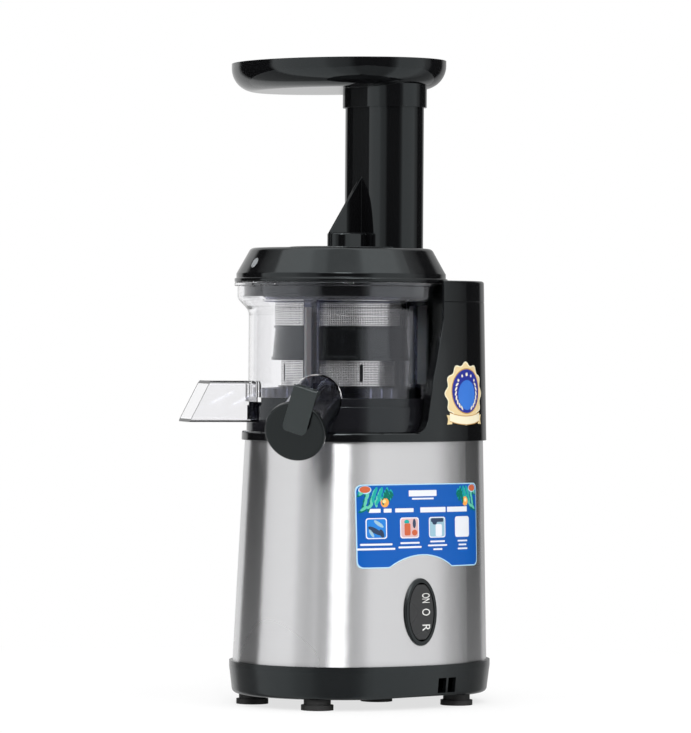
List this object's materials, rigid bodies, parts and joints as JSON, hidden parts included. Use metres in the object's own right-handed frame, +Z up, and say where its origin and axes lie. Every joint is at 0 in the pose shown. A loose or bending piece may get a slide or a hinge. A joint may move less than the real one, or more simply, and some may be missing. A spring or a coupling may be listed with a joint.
{
  "type": "cold press juicer",
  "caption": "Upright cold press juicer with a steel motor body, clear bowl, strainer, auger, lid with tall feed tube, feed tray, juice spout with cap and pulp chute.",
  "frame": {"origin": "middle of the footprint at floor level", "axes": "+Z up, -Y the front, +X the side with the switch"},
  "size_m": [0.2216, 0.215, 0.4346],
  "materials": {
    "gloss_black": "gloss black",
    "satin_black": "satin black",
    "cap_grey": "satin dark grey",
    "smoke_plastic": "smoked, half see-through",
    "clear_plastic": "clear",
    "brushed_steel": "brushed round the body",
    "screen_steel": "finely perforated",
    "rubber_black": "matt",
    "silicone": "milky",
    "switch_grey": "satin black, white lettering",
    "auger_plastic": "satin",
    "gear_plastic": "natural nylon",
    "motor_steel": "laminated and pressed steel",
    "ground_steel": "ground",
    "copper": "enamelled copper wire",
    "cast_case": "die cast",
    "board": "circuit board",
    "components": "moulded"
  },
  "bodies": {
    "housing": {"base_cover": "satin_black", "rubber_feet": "rubber_black", "housing_screws": "ground_steel", "steel_sleeve": "brushed_steel", "upper_housing": "gloss_black", "column_cap": "gloss_black", "motor_can": "motor_steel", "motor_end_cap": "motor_steel", "motor_bearings": "ground_steel", "stator_core": "motor_steel", "stator_windings": "copper", "gearbox_case": "cast_case", "gearbox_lid": "cast_case", "stage_axle": "ground_steel", "shaft_bearings": "ground_steel", "shaft_seal": "rubber_black", "mount_grommets": "rubber_black", "mount_screws": "ground_steel", "switch_bezel": "satin_black", "switch_body": "satin_black", "control_board": "board", "board_components": "components", "reed_switch": "components", "cord_gland": "satin_black"},
    "drive": {"drive_shaft": "ground_steel", "output_gear": "gear_plastic"},
    "stage": {"stage_gear": "gear_plastic"},
    "rotor": {"rotor_core": "motor_steel", "motor_shaft": "ground_steel", "motor_pinion": "ground_steel", "cooling_fan": "gear_plastic"},
    "rocker": {"switch_rocker": "switch_grey"},
    "bowl": {"bowl_base": "satin_black", "clear_bowl": "clear_plastic", "juice_spout": "smoke_plastic", "strainer_frame": "satin_black", "lower_screen": "screen_steel", "upper_screen": "screen_steel", "bowl_seal": "silicone", "cap_pin": "ground_steel"},
    "auger": {"auger": "auger_plastic"},
    "wiper": {"wiper_ring": "smoke_plastic", "wiper_frame": "smoke_plastic", "wiper_blades": "silicone"},
    "idler": {"wiper_pinion": "gear_plastic"},
    "cap": {"juice_cap": "cap_grey", "cap_lever": "cap_grey", "cap_gasket": "silicone"},
    "lid_bush": {"lid_bush": "gear_plastic"},
    "lid": {"lid": "gloss_black", "lid_gasket": "rubber_black", "lid_magnet": "ground_steel"},
    "tray": {"feed_tray": "gloss_black"}
  },
  "joints": [
    {"name": "drive_spin", "type": "hinge", "parent": "housing", "child": "drive", "pos_m": [0.02498, -0.0017, 0.1833], "axis": [0, 0, 1], "continuous": true},
    {"name": "stage_spin", "type": "hinge", "parent": "housing", "child": "stage", "pos_m": [-0.00282, 0.02347, 0.14], "axis": [0, 0, 1], "continuous": true},
    {"name": "rotor_spin", "type": "hinge", "parent": "housing", "child": "rotor", "pos_m": [0.02498, 0.0383, 0.08], "axis": [0, 0, 1], "continuous": true},
    {"name": "rocker_tilt", "type": "hinge", "parent": "housing", "child": "rocker", "pos_m": [0.09313, 0.00841, 0.06457], "axis": [0.0941, 0.9956, 0], "range_deg": [-8, 8]},
    {"name": "bowl_lift", "type": "slide", "parent": "housing", "child": "bowl", "axis": [0, 0, 1], "range_m": [0, 0.12]},
    {"name": "auger_spin", "type": "hinge", "parent": "bowl", "child": "auger", "pos_m": [0.02498, -0.0017, 0.206], "axis": [0, 0, 1], "continuous": true},
    {"name": "wiper_spin", "type": "hinge", "parent": "bowl", "child": "wiper", "pos_m": [0.02498, -0.0017, 0.206], "axis": [0, 0, 1], "continuous": true},
    {"name": "idler_spin", "type": "hinge", "parent": "bowl", "child": "idler", "pos_m": [0.01258, 0.03236, 0.206], "axis": [0, 0, 1], "continuous": true},
    {"name": "cap_open", "type": "hinge", "parent": "bowl", "child": "cap", "pos_m": [0.09353, -0.08885, 0.20834], "axis": [-0.7173, -0.6261, 0.3059], "range_deg": [0, 95]},
    {"name": "lid_lift", "type": "slide", "parent": "bowl", "child": "lid_bush", "axis": [0, 0, 1], "range_m": [0, 0.1]},
    {"name": "lid_turn", "type": "hinge", "parent": "lid_bush", "child": "lid", "pos_m": [0.02498, -0.0017, 0.3062], "axis": [0, 0, -1], "range_deg": [0, 24]},
    {"name": "tray_lift", "type": "slide", "parent": "lid", "child": "tray", "axis": [0, 0, 1], "range_m": [0, 0.05]}
  ],
  "couplings": [
    {"joint": "stage_spin", "follows": "drive_spin", "ratio": -4},
    {"joint": "rotor_spin", "follows": "drive_spin", "ratio": 14.667},
    {"joint": "auger_spin", "follows": "drive_spin", "ratio": 1},
    {"joint": "idler_spin", "follows": "drive_spin", "ratio": -2.2222},
    {"joint": "wiper_spin", "follows": "drive_spin", "ratio": -0.52632}
  ]
}
